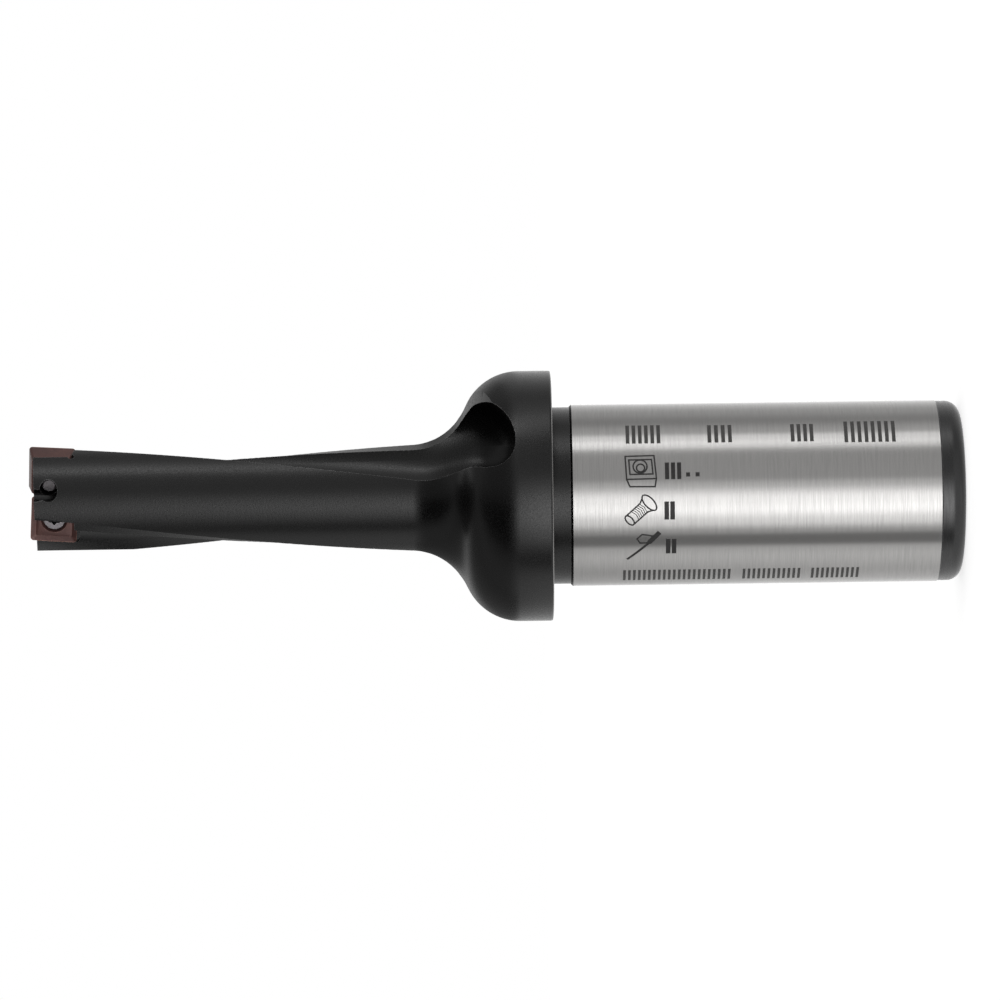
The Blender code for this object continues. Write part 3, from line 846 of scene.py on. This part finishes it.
def mark(bm, points, width, looped=False):
    """A line of even width, mitred at its corners, as a closed skin on the shank."""
    line = fine(points, looped)
    count = len(line)
    rows = []
    for i, point in enumerate(line):
        into = point - line[i - 1] if looped or i else line[1] - point
        out = line[(i + 1) % count] - point if looped or i + 1 < count else into
        ahead = (into.normalized() + out.normalized()).normalized()
        half = width / 2.0 / max(0.5, ahead.dot(out.normalized()))
        side = Vector((-ahead.y, ahead.x)) * half
        row = []
        for offset, lift in ((side, 0.0), (-side, 0.0), (-side, -1.0), (side, -1.0)):
            spot = point + offset
            radius = SHANK_R + MARK_LIFT + lift * MARK_T
            row.append(bm.verts.new(around(FACING + spot.y / SHANK_R, radius, SHANK_L - spot.x)))
        rows.append(row)
    pairs = list(zip(rows, rows[1:])) + ([(rows[-1], rows[0])] if looped else [])
    for near, far in pairs:
        for i in range(4):
            j = (i + 1) % 4
            bm.faces.new((near[i], near[j], far[j], far[i]))
    if not looped:
        bm.faces.new(rows[0][::-1])
        bm.faces.new(rows[-1])


def leaning(points):
    """Points of the screw's drawing, set down at its slant."""
    turn = Matrix.Rotation(SCREW_LEAN, 2)
    return [tuple(turn @ Vector(point) + Vector(SCREW_AT)) for point in points]


def ellipse(x, y, wide, high, steps=28):
    turns = [2.0 * math.pi * i / steps for i in range(steps)]
    return [(x + wide * math.cos(a), y + high * math.sin(a)) for a in turns]


def laser_mark(name, dark, light):
    made, tree, shader, place = finish_named(name)
    fine_grain = grain(tree, place, 9000.0, 2.0)
    tree.links.new(ramp(tree, fine_grain, dark, light), shader.inputs["Base Color"])
    shader.inputs["Roughness"].default_value = 0.55
    return made


marks = bmesh.new()
for start, count, pitch, wide, top, bottom in BLOCK_ROWS:
    for i in range(count):
        middle = start + pitch * i + wide / 2.0
        mark(marks, [(middle, bottom), (middle, top)], wide * MM)
for outline in INSERT_LINES:
    mark(marks, outline, LINE, True)
mark(marks, INSERT_SKIRT, LINE)
mark(marks, leaning(ellipse(*SCREW_HEAD)), LINE, True)
mark(marks, leaning(ellipse(*SCREW_END)), LINE, True)
for side in (1.0, -1.0):
    mark(marks, leaning([(x, side * y) for x, y in SCREW_EDGE]), LINE)
for i in range(SCREW_TURNS):
    mark(marks, leaning([(x + SCREW_PITCH * i, y) for x, y in SCREW_TURN]), LINE / 2.0)
mark(marks, KEY_SHANK, KEY_SHANK_W)
mark(marks, KEY_END, KEY_END_W)
mark(marks, KEY_WING, LINE, True)
laser_marks = closed("laser_marks", marks)
for name, dark, light in BURNS:
    laser_marks.data.materials.append(laser_mark(name, dark, light))
for face in laser_marks.data.polygons:
    up = SHANK_R * (math.atan2(face.center.y, face.center.x) - FACING)
    face.material_index = 0 if LIGHT_BELOW < up < LIGHT_ABOVE else 1
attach(laser_marks, "root")


# ---- Floor, light and camera
# A plain white floor and an even white studio. Long soft boxes stand round the tool, with
# greyer card between them; the camera looks level, with the tool's tip to the left.

CAMERA_AZIMUTH = math.radians(17.0)
CAMERA_DISTANCE = 0.69
CAMERA_AIM = 0.0632
CAMERA_LIFT = -0.0005
CAMERA_ROLL = math.radians(-0.77)
PICTURE_WIDTH = 0.1376
SENSOR = 36.0
FLOOR_HALF = 6.0
# The soft boxes round the tool, in degrees from the side that faces the front, and how
# bright each one is: level with the shank, a little higher beside the front, overhead with
# black card, and below. Each layer comes in between two heights, in degrees of elevation.
STUDIO_TOP = 5.5
STUDIO = [
    (-180.0, 1.60), (-160.0, 1.05), (-120.0, 1.12), (-85.0, 1.42), (-74.0, 1.15), (-66.0, 0.12),
    (-56.0, 0.12), (-50.0, 0.95), (-35.0, 3.25), (-20.0, 5.40), (-8.0, 4.80), (12.0, 1.55),
    (16.0, 1.10), (18.0, 0.64), (50.0, 0.52), (60.0, 0.75), (70.0, 1.85), (77.0, 2.35),
    (84.0, 1.00), (105.0, 0.52), (125.0, 0.75), (150.0, 1.05), (180.0, 1.60),
]
BESIDE_FRONT = [
    (-180.0, 0.50), (-160.0, 0.22), (-120.0, 0.20), (-85.0, 0.80), (-74.0, 0.90), (-66.0, 0.50),
    (-56.0, 0.50), (-50.0, 0.60), (-35.0, 0.85), (-20.0, 1.10), (-8.0, 1.00), (12.0, 0.85),
    (20.0, 0.95), (50.0, 1.20), (57.0, 1.80), (61.0, 5.00), (68.0, 5.00), (74.0, 2.00),
    (84.0, 0.90), (105.0, 0.52), (125.0, 0.65), (150.0, 0.60), (180.0, 0.50),
]
OVERHEAD = [
    (-180.0, 0.85), (-150.0, 0.20), (-120.0, 0.25), (-75.0, 0.45), (-56.0, 0.30), (-48.0, 0.02),
    (-8.0, 0.02), (-2.0, 0.26), (40.0, 0.30), (66.0, 0.50), (90.0, 0.36), (112.0, 0.40),
    (130.0, 0.22), (150.0, 0.45), (180.0, 0.85),
]
BELOW = [(-180.0, 0.75), (-15.0, 1.20), (90.0, 0.60), (180.0, 0.75)]
LAYERS = [(BESIDE_FRONT, 0.0, 1.5), (OVERHEAD, 8.0, 14.0), (BELOW, -10.0, -26.0)]


def floor():
    bm = bmesh.new()
    bmesh.ops.create_grid(bm, x_segments=8, y_segments=8, size=FLOOR_HALF)
    made = closed("floor", bm)
    material, tree, shader, place = finish_named("floor_white")
    nodes, links = tree.nodes, tree.links
    mottled = ramp(tree, grain(tree, place, 30.0, 2.0), (0.90, 0.90, 0.90), (0.94, 0.94, 0.94))
    links.new(mottled, shader.inputs["Base Color"])
    shader.inputs["Roughness"].default_value = 0.9
    shader.inputs["Specular IOR Level"].default_value = 0.0
    glow = nodes.new("ShaderNodeEmission")
    glow.inputs["Strength"].default_value = 0.75
    lit = nodes.new("ShaderNodeAddShader")
    seen = nodes.new("ShaderNodeMixShader")
    path = nodes.new("ShaderNodeLightPath")
    either = nodes.new("ShaderNodeMath")
    either.operation = "MAXIMUM"
    links.new(path.outputs["Is Camera Ray"], either.inputs[0])
    links.new(path.outputs["Is Glossy Ray"], either.inputs[1])
    links.new(shader.outputs["BSDF"], lit.inputs[0])
    links.new(glow.outputs["Emission"], lit.inputs[1])
    links.new(either.outputs["Value"], seen.inputs["Fac"])
    links.new(shader.outputs["BSDF"], seen.inputs[1])
    links.new(lit.outputs["Shader"], seen.inputs[2])
    links.new(seen.outputs["Shader"], nodes["Material Output"].inputs["Surface"])
    made.data.materials.append(material)
    made.visible_glossy = False


def soft_boxes(tree, angle, stops):
    """Brightness round the tool, from stops in degrees, as a share of the brightest box."""
    node = tree.nodes.new("ShaderNodeValToRGB")
    node.color_ramp.interpolation = "EASE"
    elements = node.color_ramp.elements
    elements.remove(elements[1])
    for degrees, bright in stops:
        share = degrees / 360.0 + 0.5
        element = elements.new(share) if share > 0.0 else elements[0]
        element.color = (bright / STUDIO_TOP,) * 3 + (1.0,)
    tree.links.new(angle, node.inputs["Fac"])
    return node.outputs["Color"]


def studio():
    world = bpy.data.worlds.new("studio")
    bpy.context.scene.world = world
    world.use_nodes = True
    nodes, links = world.node_tree.nodes, world.node_tree.links
    around_tool = nodes.new("ShaderNodeMapping")
    around_tool.vector_type = "POINT"
    around_tool.inputs["Rotation"].default_value = (0.0, 0.0, -FACING)
    links.new(nodes.new("ShaderNodeTexCoord").outputs["Generated"], around_tool.inputs["Vector"])
    angle = nodes.new("ShaderNodeTexGradient")
    angle.gradient_type = "RADIAL"
    links.new(around_tool.outputs["Vector"], angle.inputs["Vector"])
    height = nodes.new("ShaderNodeSeparateXYZ")
    links.new(around_tool.outputs["Vector"], height.inputs["Vector"])
    hung = soft_boxes(world.node_tree, angle.outputs["Fac"], STUDIO)
    for stops, start, full in LAYERS:
        raised = nodes.new("ShaderNodeMapRange")
        raised.interpolation_type = "SMOOTHSTEP"
        raised.inputs["From Min"].default_value = math.sin(math.radians(start))
        raised.inputs["From Max"].default_value = math.sin(math.radians(full))
        links.new(height.outputs["Z"], raised.inputs["Value"])
        higher = soft_boxes(world.node_tree, angle.outputs["Fac"], stops)
        hung = mixed(world.node_tree, raised.outputs["Result"], hung, higher)
    light = nodes.new("ShaderNodeBackground")
    light.inputs["Strength"].default_value = STUDIO_TOP
    links.new(hung, light.inputs["Color"])
    white = nodes["Background"]
    white.inputs["Color"].default_value = (1.0, 1.0, 1.0, 1.0)
    white.inputs["Strength"].default_value = 1.0
    choice = nodes.new("ShaderNodeMixShader")
    links.new(nodes.new("ShaderNodeLightPath").outputs["Is Camera Ray"], choice.inputs["Fac"])
    links.new(light.outputs["Background"], choice.inputs[1])
    links.new(white.outputs["Background"], choice.inputs[2])
    links.new(choice.outputs["Shader"], nodes["World Output"].inputs["Surface"])


def camera():
    lens = bpy.data.cameras.new("camera")
    lens.sensor_width = SENSOR
    lens.lens = SENSOR * CAMERA_DISTANCE / PICTURE_WIDTH
    lens.clip_start = 0.01
    lens.clip_end = 100.0
    made = bpy.data.objects.new("camera", lens)
    bpy.context.scene.collection.objects.link(made)
    back = Vector((math.sin(CAMERA_AZIMUTH), -math.cos(CAMERA_AZIMUTH), 0.0))
    right = Vector((0.0, 0.0, -1.0))
    up = back.cross(right)
    stand = Matrix((right, up, back)).transposed() @ Matrix.Rotation(CAMERA_ROLL, 3, "Z")
    place = Vector((0.0, 0.0, CAMERA_AIM)) + CAMERA_DISTANCE * back + CAMERA_LIFT * up
    made.matrix_world = Matrix.Translation(place) @ stand.to_4x4()
    bpy.context.scene.camera = made


floor()
studio()
camera()
bpy.context.scene.view_settings.view_transform = "Standard"
